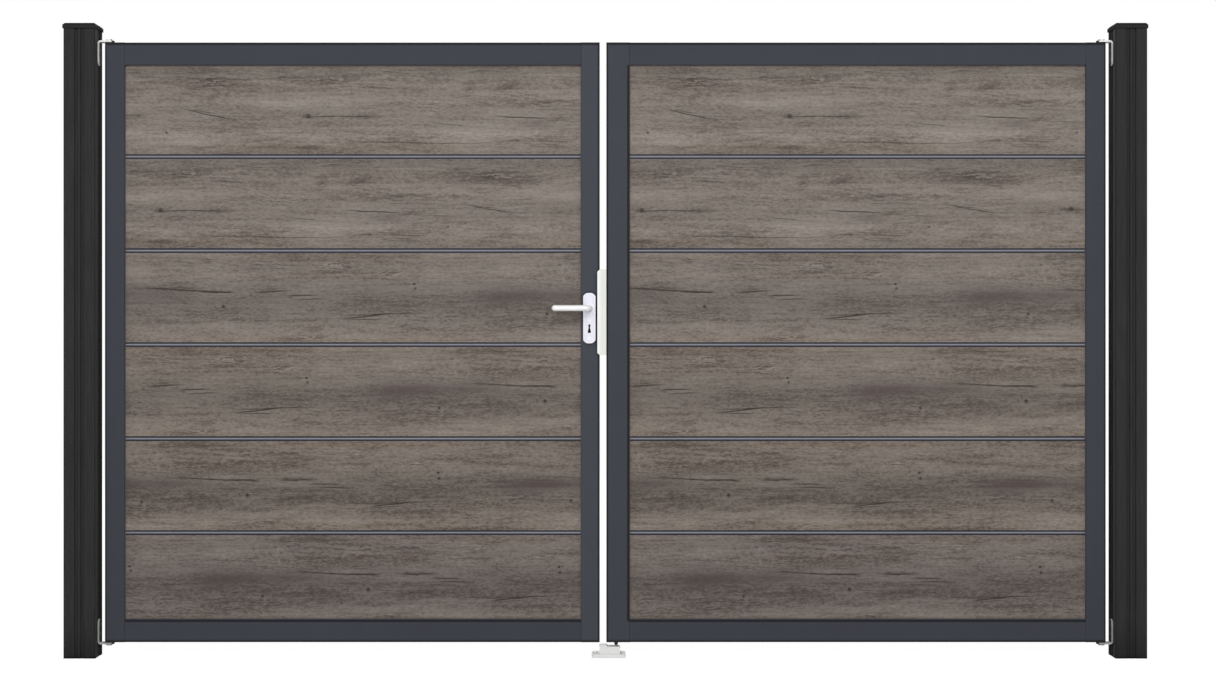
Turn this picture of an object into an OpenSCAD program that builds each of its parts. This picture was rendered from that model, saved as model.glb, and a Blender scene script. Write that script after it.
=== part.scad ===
// Double swing gate with framed board leaves, a lever lock and a drop bolt.
// Millimetres, +Z up. The origin is the middle of the left post's foot.
// X runs across the gateway, and both leaves swing towards +Y.

/* [Gateway] */
// Clear width between the two posts
opening_w = 3049; // [2700:1:3800]
// Height of each leaf
leaf_h = 1800; // [1500:1:2200]
// Gap between the ground and the leaves
ground_gap = 45; // [42:1:80]
// Gap between the two leaves
centre_gap = 20; // [18:0.5:30]

/* [Posts] */
// Outer width of a square post
post_w = 95; // [80:1:140]
// How far a post stands above the leaves
post_rise = 39; // [25:1:200]
// Wall of a post
post_wall = 3.5; // [3:0.5:6]
// Radius of a post's corners
post_r = 3; // [2:0.5:6]
// Width of each long groove in a post's face
groove_w = 9; // [4:0.5:10]
// Distance between the middles of a face's two grooves
groove_pitch = 18; // [12:1:30]
// Depth of the grooves in a post
groove_depth = 2; // [0.5:0.1:2]
// How far a post cap stands out past the post
cap_over = 2.5; // [1:0.5:6]
// Height of a post cap's upright edge
cap_edge = 10; // [6:1:20]
// Height and width of a post cap's bevel
cap_bevel = 6; // [3:1:12]
// How deep a cap's plug goes into its post
cap_plug = 18; // [10:1:40]

/* [Leaf frames] */
// Thickness of the leaf frames
leaf_t = 40; // [36:1:60]
// Width of a hinge stile
hinge_stile_w = 60; // [50:1:90]
// Distance from the lever's axis to the active leaf's boards
lock_side = 25; // [25:1:50]
// Width of the passive leaf's meeting stile
passive_stile_w = 70; // [56:1:90]
// Height of a top rail
top_rail_h = 68; // [50:1:100]
// Height of a bottom rail
bottom_rail_h = 70; // [60:1:100]
// Wall of the frame profiles
frame_wall = 2; // [1.5:0.5:3]
// Radius of the outer edges of the frame
frame_r = 4; // [2:0.5:6]
// Radius of the edges beside the boards
lip_r = 1.5; // [0.5:0.5:3]
// Thickness of the end plates on the stiles
end_plate = 3; // [2:0.5:5]

/* [Boards] */
// Number of boards in a leaf
boards = 6; // [6:6]
// Thickness of a board
board_t = 20; // [16:1:24]
// How far the boards reach into the stiles and the top rail
board_in = 8.5; // [6:0.5:10]
// How far the lowest board reaches into the bottom rail
board_foot = 24.5; // [10:0.5:28]
// Height of a joint strip's face
strip_h = 14.5; // [12:0.5:20]
// Thickness of a joint strip's cross web and side walls
strip_wall = 2; // [1.5:0.5:3]
// Width of the raised bead along a joint strip
bead_w = 6.5; // [4:0.5:8]
// Height of the bead above the strip's side walls
bead_rise = 1.7; // [1:0.1:2.5]

/* [Hinges] */
// Diameter of the pivot pins
pin_d = 10; // [8:1:12]
// Wall between a pivot's bore and the side of its block
bush_wall = 1.4; // [1:0.1:4]
// How deep a pin goes into its leaf
pin_in = 28; // [20:1:40]
// Thickness of the bent hinge brackets
bracket_t = 5; // [4:0.5:6]
// Width of the bent hinge brackets
bracket_w = 32; // [24:1:40]
// Length of a bracket's leg on the post
bracket_leg = 75; // [50:1:120]
// Outer radius of a bracket's bend
bracket_r = 9; // [8:1:14]

/* [Lock] */
// Height of the lever above the leaf's lower edge
lever_z = 1002; // [800:1:1200]
// Distance from the leaf's edge to the lever's axis
backset = 31; // [26:0.5:50]
// Length of the lever from its axis
lever_len = 112; // [90:1:140]
// Diameter of the lever bar
lever_d = 18; // [14:1:22]
// How far the lever bar's middle stands off the leaf
lever_off = 50; // [40:1:65]
// Height of the long plates
plate_h = 151; // [140:1:190]
// Thickness of the long plates
plate_t = 7; // [5:0.5:10]
// Distance from the lever's axis down to the keyhole's middle
key_drop = 61; // [50:1:80]
// Height of the keyhole
key_h = 26; // [20:1:34]
// Size of the square spindle
spindle = 8; // [7:0.5:10]

/* [Strike] */
// Thickness of the strike on the passive leaf's edge
strike_t = 11; // [9:0.5:13]
// Height of the strike
strike_h = 257; // [220:1:320]
// Distance from the lever's axis down to the strike's middle
strike_drop = 12; // [0:1:30]
// Thickness of the stop lip
lip_t = 3; // [2:0.5:5]
// How far the stop lip reaches over the active leaf's edge
lip_lap = 7; // [5:0.5:10]

/* [Drop bolt] */
// Diameter of the drop rod
rod_d = 12; // [10:1:16]
// Height of the bend in the drop rod above the leaf's lower edge
rod_bend_z = 470; // [300:1:700]
// Distance from the passive leaf's edge to the rod
rod_in = 29.5; // [25:0.5:40]
// Height of the lowered rod's tip above the ground
rod_low = 7.5; // [5:0.5:12]
// How far the raised rod reaches below the leaf
rod_below = 15.5; // [8:0.5:18]
// Length of the rod's handle
rod_handle = 80; // [50:1:120]
// Height of a rod guide
guide_h = 30; // [20:1:50]

/* [Screws] */
// Diameter of the screws in the hinge brackets
bracket_screw = 6; // [5:0.5:7]
// Diameter of the screws in the lock plates, the strike and the rod guides
small_screw = 4; // [3:0.5:5]

/* [Floor receiver] */
// Width of the receiver's base
receiver_w = 102; // [96:1:140]
// Thickness of the receiver's base
receiver_base = 10; // [8:1:14]
// Distance from the gate's middle plane to the receiver's front
receiver_front = 38; // [30:1:50]

/* [Clearances] */
// Clearance where one piece is pushed into another
fit = 0.3; // [0.2:0.05:0.5]
// Clearance between pieces that move past each other
running = 5; // [5:0.5:8]
// Clearance between a leaf's ends and the hinges' arms, around the pins
hinge_play = 2; // [1:0.5:5]
// Clearance between a turning leaf's corner and the hinge bracket
swing_gap = 5.5; // [5:0.5:12]
// Clearance between a lock plate and the strike's lip
plate_gap = 5.5; // [5:0.5:8]
// Clearance of the boards in the frame's grooves
board_play = 0.5; // [0.3:0.1:1]
// Clearance around the lowered rod in its socket
socket_gap = 3; // [2:0.5:5]
// Clearance around the latch and the dead bolt in the strike
pocket_gap = 3; // [2:0.5:4]
// Clearance around the levers' necks and the spindle inside the leaf
neck_play = 1; // [0.5:0.5:2]

/* [Hidden] */
$fn = 48;

// Overall places
eps = 0.5;
post_h = ground_gap + leaf_h + post_rise;
pivot_in = frame_wall + fit + bush_wall + fit + pin_d / 2;
corner_reach = norm([pivot_in - frame_r, leaf_t / 2 - frame_r]) + frame_r;
post_gap = ceil(2 * (corner_reach + swing_gap + bracket_t - pivot_in)) / 2;
active_stile_w = backset + lock_side;
left_face = post_w / 2;
right_face = left_face + opening_w;
panel_w = (opening_w - 2 * post_gap - centre_gap - 2 * hinge_stile_w
    - active_stile_w - passive_stile_w) / 2;
active_w = hinge_stile_w + panel_w + active_stile_w;
passive_w = hinge_stile_w + panel_w + passive_stile_w;

// Hinges
pin_head = 4;
pin_shoulder = 4;
bracket_screws = [30, 58];

// Screws
screw_room = 0.5;
plate_screws = [-35, -89];
strike_screw_in = 20;

// Leaf frame
slot_w = board_t + 2 * board_play;
slot_room = 2;
slot_d = board_in + slot_room;
foot_slot_d = board_foot + slot_room;
lip_w = (leaf_t - slot_w) / 2;
field_h = leaf_h - top_rail_h - bottom_rail_h;
stile_len = leaf_h - 2 * end_plate;
plug_len = pin_in + 4;
cap_in = 14;

// Boards
tongue_t = board_t - 2 * (strip_wall + bead_rise + fit);
pitch = (field_h + board_in + board_foot) / boards;
stack_top = leaf_h - top_rail_h + board_in;
tongue_h = (strip_h - strip_wall) / 2 - fit;
strip_side = tongue_t / 2 + fit;
bead_r = (bead_w * bead_w / 4 + bead_rise * bead_rise) / (2 * bead_rise);

// Lock
plate_w = 2 * (backset - lip_lap - plate_gap);
latch_throw = centre_gap - strike_t - running;
case_h = 170;
case_t = 16;
case_drop = 120;
case_depth = active_stile_w - slot_d - frame_wall - fit;
forend_t = frame_wall;
forend_w = 22;
forend_h = 230;
forend_drop = 135;
latch_rise = 24;
latch_z = lever_z + latch_rise;
latch_h = 14;
latch_t = 11;
latch_len = 20;
latch_room = 2;
latch_flat = 2;
bolt_drop = 30;
bolt_z = lever_z - key_drop - bolt_drop;
bolt_h = 28;
bolt_t = 8;
bolt_wall = 9;
bolt_len = case_depth - bolt_wall - fit;
neck_d = lever_d;
neck_gap = 0.4;
neck_seat = 0.5;
bend_r = 14;
spindle_grip = 26;
spindle_reach = leaf_t / 2 + spindle_grip;
plate_arch = 0.55 * plate_h;
plate_turn = plate_w / 2 + 2.5;
plate_turn_in = plate_turn - 1;
plate_dome = 2.5;
plate_drop = 29.5;
collar_t = 2;
collar_over = 4;
key_eye = 7;
key_foot = 9.5;
key_slot = 4.5;
key_waist = 1;
key_toe = 4;

// Drop bolt
rod_travel = ground_gap - rod_below - rod_low;
rod_off = 6;
rod_y = leaf_t / 2 + rod_off + rod_d / 2;
guide_wall = 4;
guide_plate = 3;
low_guide_z = 35;
rod_bend_r = 14;
guide_w = 40;
stop_gap = 1;
high_guide_z = rod_bend_z - rod_bend_r - rod_travel - stop_gap - guide_h;

// Strike
pocket_depth = 8;
function pocket_w(size) = size + 2 * pocket_gap;

// Floor receiver
receiver_left = 73.5;
base_slope = 5;
stop_w = 62;
stop_step = 4;
stop_high = ground_gap - running - socket_gap;
stop_low = stop_high - stop_step;
stop_rod_gap = 12;
stop_back = rod_y - rod_d / 2 - stop_rod_gap;
stop_bevel = 3;
socket_w = rod_d + 2 * socket_gap;
socket_wall = 3;
socket_floor = 3;
socket_top = ground_gap - rod_below - running - eps;
base_past = 6;
hole_in = 10;
floor_hole_d = 8.4;

module at_right_post() {
    translate([opening_w + post_w, 0, 0])
        children();
}

// Places a leaf's pieces: x from its hinge edge, z from its lower edge
module on_active() {
    translate([left_face + post_gap, 0, ground_gap])
        children();
}

module on_passive() {
    translate([right_face - post_gap, 0, ground_gap])
        mirror([1, 0, 0])
            children();
}

// Turns a leaf's pieces round, so that x runs inwards from its meeting edge
module from_edge(width) {
    translate([width, 0, 0])
        mirror([1, 0, 0])
            children();
}

// A rectangle from x = 0, with its own corner radius at each end
module bar_section(w, d, r_near, r_far) {
    translate([r_near, -d / 2])
        square([w - r_near - r_far, d]);
    translate([0, -d / 2 + r_near])
        square([r_near, d - 2 * r_near]);
    translate([w - r_far, -d / 2 + r_far])
        square([r_far, d - 2 * r_far]);
    for (side = [-1, 1]) {
        translate([r_near, side * (d / 2 - r_near)])
            circle(r_near);
        translate([w - r_far, side * (d / 2 - r_far)])
            circle(r_far);
    }
}

// Countersunk hole for a screw of diameter d, with its head towards +Z
module screw_hole(d, depth) {
    hole = d + screw_room;
    over = 1;
    translate([0, 0, -depth - over])
        cylinder(d = hole, h = depth + over);
    translate([0, 0, -d / 2])
        cylinder(d1 = hole, d2 = hole + d + 2 * over, h = d / 2 + over);
}

// ---- Posts ----

module post_section() {
    inner = post_w - 2 * post_wall;
    difference() {
        translate([-post_w / 2, 0])
            bar_section(post_w, post_w, post_r, post_r);
        square([inner, inner], center = true);
        for (turn = [0 : 90 : 270], side = [-1, 1])
            rotate(turn)
                translate([side * groove_pitch / 2 - groove_w / 2, post_w / 2 - groove_depth])
                    square([groove_w, groove_depth + 1]);
    }
}

module post() {
    color([0.17, 0.17, 0.18])
        linear_extrude(post_h)
            post_section();
}

// Side view of a cap's top, seen along one edge
module cap_outline() {
    half = post_w / 2 + cap_over;
    polygon([
        [-half, 0],
        [half, 0],
        [half, cap_edge],
        [half - cap_bevel, cap_edge + cap_bevel],
        [-half + cap_bevel, cap_edge + cap_bevel],
        [-half, cap_edge]
    ]);
}

module post_cap() {
    reach = post_w + 2 * cap_over;
    plug = post_w - 2 * post_wall - 2 * fit;
    color([0.12, 0.12, 0.13]) {
        intersection() {
            translate([0, reach / 2, post_h])
                rotate([90, 0, 0])
                    linear_extrude(reach)
                        cap_outline();
            translate([-reach / 2, 0, post_h])
                rotate([90, 0, 90])
                    linear_extrude(reach)
                        cap_outline();
        }
        translate([0, 0, post_h - cap_plug])
            linear_extrude(cap_plug)
                difference() {
                    square([plug, plug], center = true);
                    square([plug - 2 * post_wall, plug - 2 * post_wall], center = true);
                }
    }
}

// ---- Hinges ----

// Side view of the bent bar: x from the post's face, z up from the bend
module bracket_outline() {
    reach = post_gap + pivot_in + bracket_w / 2;
    translate([bracket_r, 0])
        square([reach - bracket_r, bracket_t]);
    translate([0, bracket_r])
        square([bracket_t, bracket_leg - bracket_r]);
    intersection() {
        translate([bracket_r, bracket_r])
            difference() {
                circle(bracket_r);
                circle(bracket_r - bracket_t);
            }
        square(bracket_r);
    }
}

// The lower hinge: x from the post's face, z from the leaf's lower edge
module hinge() {
    pivot_x = post_gap + pivot_in;
    low = -hinge_play - bracket_t;
    color([0.72, 0.73, 0.74]) {
        difference() {
            intersection() {
                translate([0, bracket_w / 2, low])
                    rotate([90, 0, 0])
                        linear_extrude(bracket_w)
                            bracket_outline();
                translate([0, 0, low])
                    linear_extrude(bracket_leg) {
                        translate([0, -bracket_w / 2])
                            square([pivot_x, bracket_w]);
                        translate([pivot_x, 0])
                            circle(bracket_w / 2);
                    }
                translate([0, 0, low])
                    rotate([90, 0, 90])
                        linear_extrude(pivot_x + bracket_w) {
                            translate([-bracket_w / 2, 0])
                                square([bracket_w, bracket_leg - bracket_w / 2]);
                            translate([0, bracket_leg - bracket_w / 2])
                                circle(bracket_w / 2);
                        }
            }
            for (up = bracket_screws)
                translate([bracket_t, 0, low + up])
                    rotate([0, 90, 0])
                        screw_hole(bracket_screw, bracket_t);
        }
        translate([pivot_x, 0, low - pin_head])
            cylinder(d = pin_d + 2 * pin_shoulder, h = pin_head + eps);
        translate([pivot_x, 0, low + bracket_t - eps])
            cylinder(d = pin_d + 2 * pin_shoulder, h = hinge_play - fit + eps);
        translate([pivot_x, 0, low])
            cylinder(d = pin_d, h = hinge_play + bracket_t + pin_in);
    }
}

module left_hinge_place() {
    translate([left_face, 0, ground_gap])
        children();
}

module right_hinge_place() {
    translate([right_face, 0, ground_gap])
        mirror([1, 0, 0])
            children();
}

module upside_down() {
    translate([0, 0, leaf_h])
        mirror([0, 0, 1])
            children();
}

// ---- Leaf frame ----

// Section of a frame profile: x from its outer edge towards the boards
module frame_section(w, depth) {
    chamber = w - depth - 2 * frame_wall;
    lip_room = lip_w - 2 * frame_wall;
    difference() {
        bar_section(w, leaf_t, frame_r, lip_r);
        translate([frame_wall, -leaf_t / 2 + frame_wall])
            square([chamber, leaf_t - 2 * frame_wall]);
        translate([w - depth, -slot_w / 2])
            square([depth + 1, slot_w]);
        for (side = [-1, 1])
            translate([w - depth, side * (slot_w + lip_w) / 2 - lip_room / 2])
                square([depth - frame_wall, lip_room]);
    }
}

module stile(w) {
    color([0.27, 0.28, 0.31])
        translate([0, 0, end_plate])
            linear_extrude(stile_len)
                frame_section(w, slot_d);
}

module rail(h, depth) {
    color([0.27, 0.28, 0.31])
        rotate([0, 90, 0])
            linear_extrude(panel_w)
                frame_section(h, depth);
}

module top_rail() {
    translate([hinge_stile_w, 0, leaf_h])
        rail(top_rail_h, slot_d);
}

module bottom_rail() {
    translate([hinge_stile_w, 0, 0])
        mirror([0, 0, 1])
            rail(bottom_rail_h, foot_slot_d);
}

// End plate with a plug that fills the profile's chamber, for a stile's lower end
module end_piece(w, plug) {
    linear_extrude(end_plate)
        bar_section(w, leaf_t, frame_r, lip_r);
    translate([frame_wall + fit, -leaf_t / 2 + frame_wall + fit, end_plate - eps])
        cube([
            w - slot_d - 2 * frame_wall - 2 * fit,
            leaf_t - 2 * frame_wall - 2 * fit,
            plug + eps
        ]);
}

module pivot_block() {
    difference() {
        end_piece(hinge_stile_w, plug_len);
        translate([pivot_in, 0, -1])
            cylinder(d = pin_d + 2 * fit, h = end_plate + plug_len + 2);
    }
}

module pivot_blocks() {
    color([0.14, 0.14, 0.15]) {
        pivot_block();
        upside_down()
            pivot_block();
    }
}

module end_caps(w) {
    color([0.14, 0.14, 0.15]) {
        end_piece(w, cap_in);
        upside_down()
            end_piece(w, cap_in);
    }
}

// ---- Boards ----

// Section of board i, counted from the top: x is its depth, y its height
module board_section(i) {
    high = stack_top - i * pitch - (i == 0 ? 0 : strip_wall / 2 + fit);
    low = stack_top - (i + 1) * pitch + (i == boards - 1 ? 0 : strip_wall / 2 + fit);
    high_tongue = i == 0 ? 0 : tongue_h + fit;
    low_tongue = i == boards - 1 ? 0 : tongue_h + fit;
    translate([-board_t / 2, low + low_tongue])
        square([board_t, high - low - low_tongue - high_tongue]);
    translate([-tongue_t / 2, low])
        square([tongue_t, high - low]);
}

module board(i) {
    color([0.47, 0.44, 0.41])
        translate([hinge_stile_w - board_in, 0, 0])
            rotate([90, 0, 90])
                linear_extrude(panel_w + 2 * board_in)
                    board_section(i);
}

// One side wall of a joint strip, with its raised bead
module strip_side_section() {
    translate([strip_side, -strip_h / 2])
        square([strip_wall, strip_h]);
    intersection() {
        translate([board_t / 2 - bead_r, 0])
            circle(bead_r);
        translate([strip_side + strip_wall / 2, -strip_h / 2])
            square([board_t, strip_h]);
    }
}

module strip_section() {
    square([2 * strip_side + strip_wall, strip_wall], center = true);
    strip_side_section();
    mirror([1, 0])
        strip_side_section();
}

module joint_strips() {
    color([0.42, 0.43, 0.46])
        for (i = [1 : boards - 1])
            translate([hinge_stile_w - board_in, 0, stack_top - i * pitch])
                rotate([90, 0, 90])
                    linear_extrude(panel_w + 2 * board_in)
                        strip_section();
}

// ---- Lock, with x running inwards from the leaf's meeting edge ----

module keyhole() {
    rise = key_h / 2;
    translate([0, rise - key_eye / 2])
        circle(d = key_eye);
    polygon([
        [-key_slot / 2, rise - key_eye / 2],
        [-key_slot / 2, key_waist],
        [-key_foot / 2, key_toe - rise],
        [-key_foot / 2, -rise],
        [key_foot / 2, -rise],
        [key_foot / 2, key_toe - rise],
        [key_slot / 2, key_waist],
        [key_slot / 2, rise - key_eye / 2]
    ]);
}

module keyhole_cut(width) {
    translate([backset, width / 2, lever_z - key_drop])
        rotate([90, 0, 0])
            linear_extrude(width)
                keyhole();
}

module spindle_hole(d, width) {
    translate([backset, width / 2, lever_z])
        rotate([90, 0, 0])
            cylinder(d = d, h = width);
}

module lock_cuts() {
    translate([-1, -forend_w / 2 - fit, lever_z - forend_drop - fit])
        cube([frame_wall + 1 + eps, forend_w + 2 * fit, forend_h + 2 * fit]);
    spindle_hole(neck_d + 2 * neck_play, leaf_t + 2);
    translate([backset, leaf_t / 2 + 1, lever_z - key_drop])
        rotate([90, 0, 0])
            linear_extrude(leaf_t + 2)
                square([key_foot + 4 * neck_play, key_h + 4 * neck_play], center = true);
}

module active_meeting_stile() {
    difference() {
        stile(active_stile_w);
        lock_cuts();
    }
}

module lock_case() {
    color([0.66, 0.67, 0.68])
        difference() {
            union() {
                translate([0, -forend_w / 2, lever_z - forend_drop])
                    cube([forend_t, forend_w, forend_h]);
                translate([forend_t - eps, -case_t / 2, lever_z - case_drop])
                    cube([case_depth - forend_t - fit, case_t, case_h]);
            }
            spindle_hole(spindle * sqrt(2) + 2 * neck_play, case_t + 2);
            keyhole_cut(case_t + 2);
            translate([-1, -latch_t / 2 - fit, latch_z - latch_h / 2 - fit])
                cube([latch_len + latch_room + 1, latch_t + 2 * fit, latch_h + 2 * fit]);
            translate([-1, -bolt_t / 2 - fit, bolt_z - bolt_h / 2 - fit])
                cube([bolt_len + fit + 1, bolt_t + 2 * fit, bolt_h + 2 * fit]);
        }
}

module dead_bolt() {
    color([0.75, 0.75, 0.74])
        translate([0, -bolt_t / 2, bolt_z - bolt_h / 2])
            cube([bolt_len, bolt_t, bolt_h]);
}

// The latch's nose is bevelled on the side that meets the strike when the leaf closes
module latch() {
    color([0.75, 0.75, 0.74])
        translate([0, 0, latch_z - latch_h / 2])
            linear_extrude(latch_h)
                polygon([
                    [-latch_throw, latch_t / 2],
                    [-latch_throw, latch_t / 2 - latch_flat],
                    [latch_t - latch_flat - latch_throw, -latch_t / 2],
                    [latch_len - latch_throw, -latch_t / 2],
                    [latch_len - latch_throw, latch_t / 2]
                ]);
}

// Front outline of a long plate, with arched ends and rounded corners
module plate_outline() {
    intersection() {
        square([plate_w, plate_h], center = true);
        union() {
            square([plate_w + 2, plate_h - 2 * plate_turn_in], center = true);
            for (side = [-1, 1])
                translate([0, side * (plate_h / 2 - plate_turn_in)])
                    circle(plate_turn, $fn = 96);
        }
        translate([0, plate_h / 2 - plate_arch])
            circle(plate_arch, $fn = 96);
        translate([0, plate_arch - plate_h / 2])
            circle(plate_arch, $fn = 96);
    }
}

// Section across a long plate, whose outer face is slightly domed
module plate_section() {
    dome_r = (plate_w * plate_w / 4 + plate_dome * plate_dome) / (2 * plate_dome);
    translate([-plate_w / 2, 0])
        square([plate_w, plate_t - plate_dome]);
    intersection() {
        translate([0, plate_t - dome_r])
            circle(dome_r, $fn = 96);
        translate([-plate_w / 2, 0])
            square([plate_w, plate_t]);
    }
}

// The plate on the leaf's back
module lock_plate() {
    middle_z = lever_z - plate_drop;
    color([0.86, 0.86, 0.88])
        difference() {
            union() {
                intersection() {
                    translate([backset, leaf_t / 2, middle_z - plate_h / 2])
                        linear_extrude(plate_h)
                            plate_section();
                    translate([backset, leaf_t / 2 + plate_t, middle_z])
                        rotate([90, 0, 0])
                            linear_extrude(plate_t)
                                plate_outline();
                }
                translate([backset, leaf_t / 2 + plate_t + collar_t, lever_z])
                    rotate([90, 0, 0])
                        cylinder(d = neck_d + 2 * collar_over, h = plate_t);
            }
            spindle_hole(neck_d + 2 * neck_gap, 2 * leaf_t);
            keyhole_cut(2 * leaf_t);
            for (up = plate_screws)
                translate([backset, leaf_t / 2 + plate_t, lever_z + up])
                    rotate([-90, 0, 0])
                        screw_hole(small_screw, plate_t);
        }
}

// The lever on the leaf's back: a neck, a bend and a round bar
module lever() {
    bar_y = leaf_t / 2 + lever_off;
    color([0.9, 0.9, 0.91])
        difference() {
            union() {
                translate([backset, bar_y - bend_r, lever_z])
                    rotate([90, 0, 0])
                        cylinder(d = neck_d, h = lever_off - bend_r - neck_seat);
                translate([backset + bend_r, bar_y - bend_r, lever_z])
                    rotate([0, 0, 90])
                        rotate_extrude(angle = 90)
                            translate([bend_r, 0])
                                circle(d = lever_d);
                translate([backset + bend_r, bar_y, lever_z])
                    rotate([0, 90, 0])
                        cylinder(d = lever_d, h = lever_len - bend_r - lever_d / 2);
                translate([backset + lever_len - lever_d / 2, bar_y, lever_z])
                    sphere(d = lever_d);
            }
            translate([backset, 0, lever_z])
                cube([spindle + fit, 2 * spindle_reach + 1, spindle + fit], center = true);
        }
}

module spindle_bar() {
    color([0.6, 0.6, 0.62])
        translate([backset, 0, lever_z])
            cube([spindle, 2 * spindle_reach, spindle], center = true);
}

module on_front() {
    mirror([0, 1, 0])
        children();
}

// ---- Strike on the passive leaf's meeting edge ----

module strike() {
    front = leaf_t / 2 + running + lip_t;
    back = leaf_t / 2 - frame_r;
    edge = centre_gap + lip_lap;
    corner = lip_lap;
    low = lever_z - strike_drop - strike_h / 2;
    color([0.9, 0.9, 0.88])
        difference() {
            translate([0, 0, low])
                linear_extrude(strike_h)
                    polygon([
                        [0, -front],
                        [-edge, -front],
                        [-edge, -front + lip_t],
                        [-strike_t, -front + lip_t],
                        [-strike_t, back],
                        [0, back]
                    ]);
            for (z = [low, low + strike_h])
                translate([-edge, 0, z])
                    rotate([90, 45, 0])
                        cube([corner * sqrt(2), corner * sqrt(2), 3 * front], center = true);
            translate([-strike_t - 1, -pocket_w(latch_t) / 2, latch_z - pocket_w(latch_h) / 2])
                cube([pocket_depth + 1, pocket_w(latch_t), pocket_w(latch_h)]);
            translate([-strike_t - 1, -pocket_w(bolt_t) / 2, bolt_z - pocket_w(bolt_h) / 2])
                cube([pocket_depth + 1, pocket_w(bolt_t), pocket_w(bolt_h)]);
            for (z = [low + strike_screw_in, (latch_z + bolt_z) / 2, low + strike_h - strike_screw_in])
                translate([-strike_t, 0, z])
                    rotate([0, -90, 0])
                        screw_hole(small_screw, strike_t);
        }
}

// ---- Drop bolt on the back of the passive leaf ----

module rod_guide(z) {
    barrel_r = rod_d / 2 + guide_wall;
    translate([rod_in, 0, z])
        difference() {
            linear_extrude(guide_h)
                difference() {
                    union() {
                        translate([-guide_w / 2, leaf_t / 2])
                            square([guide_w, guide_plate]);
                        translate([-barrel_r, leaf_t / 2])
                            square([2 * barrel_r, rod_y - leaf_t / 2]);
                        translate([0, rod_y])
                            circle(barrel_r);
                    }
                    translate([0, rod_y])
                        circle(rod_d / 2 + fit);
                }
            for (side = [-1, 1])
                translate([side * (barrel_r + guide_w / 2) / 2, leaf_t / 2 + guide_plate, guide_h / 2])
                    rotate([-90, 0, 0])
                        screw_hole(small_screw, guide_plate);
        }
}

module rod_guides() {
    color([0.2, 0.2, 0.21]) {
        rod_guide(low_guide_z);
        rod_guide(high_guide_z);
    }
}

module drop_rod() {
    tip_z = rod_d / 2 - rod_below;
    bend_z = rod_bend_z - rod_bend_r;
    color([0.22, 0.22, 0.23]) {
        translate([rod_in, rod_y, tip_z])
            sphere(d = rod_d);
        translate([rod_in, rod_y, tip_z])
            cylinder(d = rod_d, h = bend_z - tip_z);
        translate([rod_in + rod_bend_r, rod_y, bend_z])
            rotate([90, 0, 0])
                rotate([0, 0, 90])
                    rotate_extrude(angle = 90)
                        translate([rod_bend_r, 0])
                            circle(d = rod_d);
        translate([rod_in + rod_bend_r, rod_y, rod_bend_z])
            rotate([0, 90, 0])
                cylinder(d = rod_d, h = rod_handle - rod_bend_r);
        translate([rod_in + rod_handle, rod_y, rod_bend_z])
            sphere(d = rod_d);
    }
}

// ---- Floor receiver: x from the drop rod, z from the ground ----

module receiver_profile() {
    polygon([
        [-receiver_left, 0],
        [receiver_w - receiver_left, 0],
        [receiver_w - receiver_left, receiver_base - base_slope],
        [receiver_w - receiver_left - base_slope, receiver_base],
        [base_slope - receiver_left, receiver_base],
        [-receiver_left, receiver_base - base_slope]
    ]);
}

// The raised stop, higher on its left
module stop_profile() {
    right = socket_wall + socket_w / 2;
    left = -stop_w + right;
    polygon([
        [left, 1],
        [left, stop_high - stop_bevel],
        [left + stop_bevel, stop_high],
        [left + stop_w / 3, stop_high],
        [left + stop_w / 3 + stop_bevel, stop_low],
        [right - stop_bevel, stop_low],
        [right, stop_low - stop_bevel],
        [right, 1]
    ]);
}

module floor_receiver() {
    rod_x = left_face + post_gap + active_w + centre_gap + rod_in;
    socket_back = rod_y + socket_w / 2 + socket_wall;
    back = socket_back + base_past;
    color([0.84, 0.84, 0.83])
        translate([rod_x, 0, 0])
            difference() {
                union() {
                    translate([0, back, 0])
                        rotate([90, 0, 0])
                            linear_extrude(back + receiver_front)
                                receiver_profile();
                    translate([0, stop_back, 0])
                        rotate([90, 0, 0])
                            linear_extrude(stop_back + receiver_front - base_past)
                                stop_profile();
                    translate([0, 0, 1])
                        rotate([0, 0, 90])
                            linear_extrude(socket_top - 1)
                                bar_section(socket_back, socket_w + 2 * socket_wall, 1, socket_wall);
                }
                translate([-socket_w / 2, rod_y - socket_w / 2, socket_floor])
                    cube([socket_w, socket_w, stop_high]);
                for (x = [hole_in - receiver_left, receiver_w - receiver_left - hole_in])
                    translate([x, 0, -1])
                        cylinder(d = floor_hole_d, h = receiver_base + 2);
            }
}

post();  // left_post
at_right_post() post();  // right_post
post_cap();  // left_post_cap
at_right_post() post_cap();  // right_post_cap
left_hinge_place() hinge();  // left_bottom_hinge
left_hinge_place() upside_down() hinge();  // left_top_hinge
right_hinge_place() hinge();  // right_bottom_hinge
right_hinge_place() upside_down() hinge();  // right_top_hinge
floor_receiver();

on_active() stile(hinge_stile_w);  // active_hinge_stile
on_active() from_edge(active_w) active_meeting_stile();
on_active() top_rail();  // active_top_rail
on_active() bottom_rail();  // active_bottom_rail
on_active() board(0);  // active_board_1
on_active() board(1);  // active_board_2
on_active() board(2);  // active_board_3
on_active() board(3);  // active_board_4
on_active() board(4);  // active_board_5
on_active() board(5);  // active_board_6
on_active() joint_strips();  // active_joint_strips
on_active() pivot_blocks();  // active_pivot_blocks
on_active() from_edge(active_w) end_caps(active_stile_w);  // active_end_caps
on_active() from_edge(active_w) lock_case();
on_active() from_edge(active_w) dead_bolt();
on_active() from_edge(active_w) latch();
on_active() from_edge(active_w) lock_plate();  // back_lock_plate
on_active() from_edge(active_w) on_front() lock_plate();  // front_lock_plate
on_active() from_edge(active_w) lever();  // back_lever
on_active() from_edge(active_w) on_front() lever();  // front_lever
on_active() from_edge(active_w) spindle_bar();

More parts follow.
